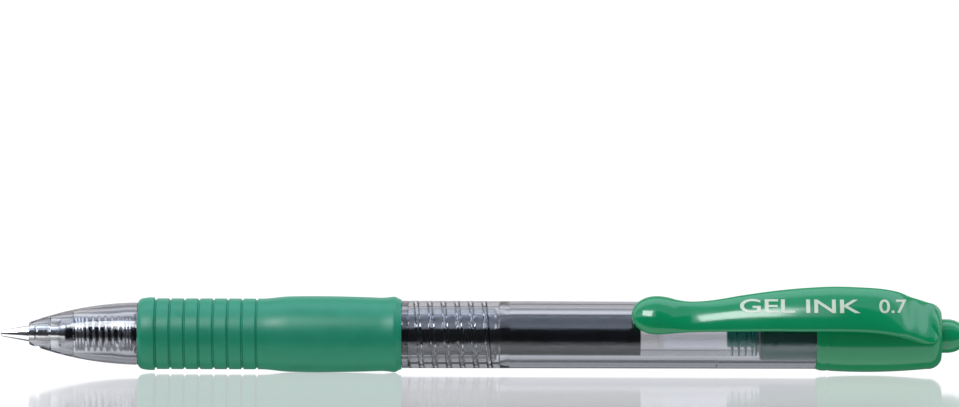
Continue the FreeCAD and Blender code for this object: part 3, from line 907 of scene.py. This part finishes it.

# The same for the table as clear pieces show it, in mm behind the pen's axis: light and shade painted on
# it as glow, with a painted shadow right under the pen.
TABLE_LIGHT = [
    (-400, -60, 0.06), (-11.5, -9.0, 1.6), (-5.5, -4.0, -1.05), (-1.2, -0.9, -0.45),
    (0.0, 0.4, 0.5), (3.0, 6.0, 0.2),
]
TABLE_WHITE = 0.90               # the table as the camera sees it
TABLE_POLISH = 0.58
FILL = 0.25                      # even light on matt surfaces, from the room and from the table
TABLE_FILL = 0.80

KEY_LEFT = (12.0, 38.0)          # the key light's reach to the left, degrees
KEY_UP = (27.0, 48.0)            # and upwards
KEY_AWAY = 0.8                   # metres
KEY_RADIANCE = 13.0


def camera():
    data = bpy.data.cameras.new("camera")
    data.lens = LENS
    data.sensor_width = 36
    data.clip_end = 20
    obj = bpy.data.objects.new("camera", data)
    bpy.context.scene.collection.objects.link(obj)
    obj.location = (CAMERA_SIDE, AXIS_Y - CAMERA_BACK, AXIS_Z + CAMERA_UP)
    obj.rotation_euler = (math.radians(90), math.radians(CAMERA_ROLL), 0)
    bpy.context.scene.camera = obj


def ramp(tree, value, start, end, low=0.0, high=1.0):
    """Runs smoothly from low to high as value goes from start to end."""
    mapped = node(tree, "ShaderNodeMapRange", {"Value": value, "From Min": start, "From Max": end,
                                               "To Min": low, "To Max": high},
                  interpolation_type="SMOOTHSTEP")
    return mapped.outputs["Result"]


def maths(tree, operation, a, b):
    return node(tree, "ShaderNodeMath", {0: a, 1: b}, operation=operation).outputs[0]


def add_steps(tree, total, value, steps, unit=1.0):
    """Adds smooth steps to a total; each is from, to and change, with from and to in units."""
    for start, end, rise in steps:
        total = maths(tree, "ADD", ramp(tree, value, start * unit, end * unit, 0.0, rise), total)
    return total


def floor():
    """A polished white table, as the camera sees it.

    Clear pieces show light and shade painted on it as glow: dark far in front of the pen, a painted strip
    of light close in front, and a painted shadow right under it. Matt surfaces take it as evenly bright,
    and glossy ones don't see it.
    """
    bm = bmesh.new()
    bmesh.ops.create_grid(bm, x_segments=8, y_segments=8, size=6)
    obj = finish_mesh("studio_floor", bm)
    obj.visible_glossy = False
    material = bpy.data.materials.new("studio_floor")
    material.use_nodes = True
    tree = material.node_tree
    table = tree.nodes["Principled BSDF"]
    table.inputs["Base Color"].default_value = (0.22, 0.22, 0.22, 1)
    table.inputs["Roughness"].default_value = 1.0
    table.inputs["Specular IOR Level"].default_value = 0.0
    table.inputs["Emission Color"].default_value = (1, 0.99, 0.97, 1)
    table.inputs["Emission Strength"].default_value = TABLE_WHITE
    gloss = node(tree, "ShaderNodeBsdfGlossy", {"Roughness": 0.05, "Color": (0.97, 0.97, 1, 1)})
    polished = node(tree, "ShaderNodeMixShader", {"Fac": TABLE_POLISH})
    tree.links.new(table.outputs[0], polished.inputs[1])
    tree.links.new(gloss.outputs[0], polished.inputs[2])
    place = node(tree, "ShaderNodeTexCoord").outputs["Object"]
    across = node(tree, "ShaderNodeSeparateXYZ", {"Vector": place}).outputs["Y"]
    across = maths(tree, "SUBTRACT", across, AXIS_Y)
    seen = node(tree, "ShaderNodeLightPath")
    matt = seen.outputs["Is Diffuse Ray"]
    # glow painted on the table by place: a strip of painted light in front of the pen and a painted shadow
    # right under it
    strength = add_steps(tree, 0.0, across, TABLE_LIGHT, MM)
    strength = maths(tree, "MULTIPLY", strength, maths(tree, "SUBTRACT", 1.0, matt))
    strength = maths(tree, "ADD", strength, maths(tree, "MULTIPLY", matt, TABLE_FILL))
    glow = node(tree, "ShaderNodeEmission", {"Color": (0.94, 0.97, 1.0, 1), "Strength": strength})
    mix = node(tree, "ShaderNodeMixShader", {"Fac": seen.outputs["Is Camera Ray"]})
    tree.links.new(glow.outputs[0], mix.inputs[1])
    tree.links.new(polished.outputs[0], mix.inputs[2])
    tree.links.new(mix.outputs[0], tree.nodes["Material Output"].inputs["Surface"])
    obj.data.materials.append(material)


def studio_world():
    """What lights the pen from every side, by the angle about the pen's own direction.

    0 degrees is level towards the camera, 90 straight up, 180 level behind. The room is dark round
    the camera. The light over it starts lower on the left than on the right, and a panel lights the
    pen from below. The camera itself sees plain white.
    """
    world = bpy.data.worlds.new("studio")
    bpy.context.scene.world = world
    world.use_nodes = True
    tree = world.node_tree
    direction = node(tree, "ShaderNodeTexCoord").outputs["Generated"]
    parts = node(tree, "ShaderNodeSeparateXYZ", {"Vector": direction})
    aside = parts.outputs["X"]
    towards = maths(tree, "MULTIPLY", parts.outputs["Y"], -1.0)
    turned = maths(tree, "ARCTAN2", parts.outputs["Z"], towards)
    degrees = maths(tree, "MULTIPLY", turned, 180 / math.pi)
    strength = add_steps(tree, 0.0, degrees, ROOM_LIGHT)
    over_edge = maths(tree, "SUBTRACT", degrees, ramp(tree, aside, 0.03, 0.08, *PANEL_FROM))
    strength = maths(tree, "MULTIPLY", strength, ramp(tree, over_edge, -1.5, 1.5))
    strength = maths(tree, "ADD", strength, ROOM_LOW)
    strength = add_steps(tree, strength, degrees, LOWER_PANEL)
    seen = node(tree, "ShaderNodeLightPath")
    fill = maths(tree, "MULTIPLY", seen.outputs["Is Diffuse Ray"], FILL)
    strength = maths(tree, "ADD", strength, fill)
    in_front = ramp(tree, degrees, 100, 120, 1, 0)
    cool = maths(tree, "MULTIPLY", in_front, ramp(tree, degrees, -20, 10, 0.3, 1))
    colour = blend_colours(tree, cool, (1.0, 1.0, 1.0), PANEL_COLOUR)
    room = node(tree, "ShaderNodeVectorMath", {0: colour, "Scale": strength}, operation="SCALE")
    background = tree.nodes["Background"]
    shown = blend_colours(tree, seen.outputs["Is Camera Ray"], room.outputs[0], (1, 1, 1))
    tree.links.new(shown, background.inputs["Color"])
    background.inputs["Strength"].default_value = 1.0


def key_light():
    """A soft box up on the left, for highlights only."""
    data = bpy.data.lights.new("key", "AREA")
    data.shape = "RECTANGLE"
    left = math.radians((KEY_LEFT[0] + KEY_LEFT[1]) / 2)
    up = math.radians((KEY_UP[0] + KEY_UP[1]) / 2)
    data.size = 2 * KEY_AWAY * math.tan(math.radians((KEY_LEFT[1] - KEY_LEFT[0]) / 2))
    data.size_y = 2 * KEY_AWAY * math.tan(math.radians((KEY_UP[1] - KEY_UP[0]) / 2))
    data.energy = KEY_RADIANCE * math.pi * data.size * data.size_y
    obj = bpy.data.objects.new("key", data)
    obj.visible_diffuse = False
    bpy.context.scene.collection.objects.link(obj)
    away = Vector((-math.sin(left) * math.cos(up), -math.cos(left) * math.cos(up), math.sin(up)))
    obj.location = at(0.5 * PEN_LENGTH, 0, 0) + away * KEY_AWAY
    obj.rotation_euler = away.to_track_quat("Z", "Y").to_euler()


front_section()
barrel()
grip()
cap()
button()
clip()
lettering()
reservoir()
ink()
follower()
tail_plug()
holder()
metal_tip()
ball()
spring()
carried_over()
floor()
studio_world()
key_light()
camera()
bpy.context.scene.view_settings.view_transform = "Standard"
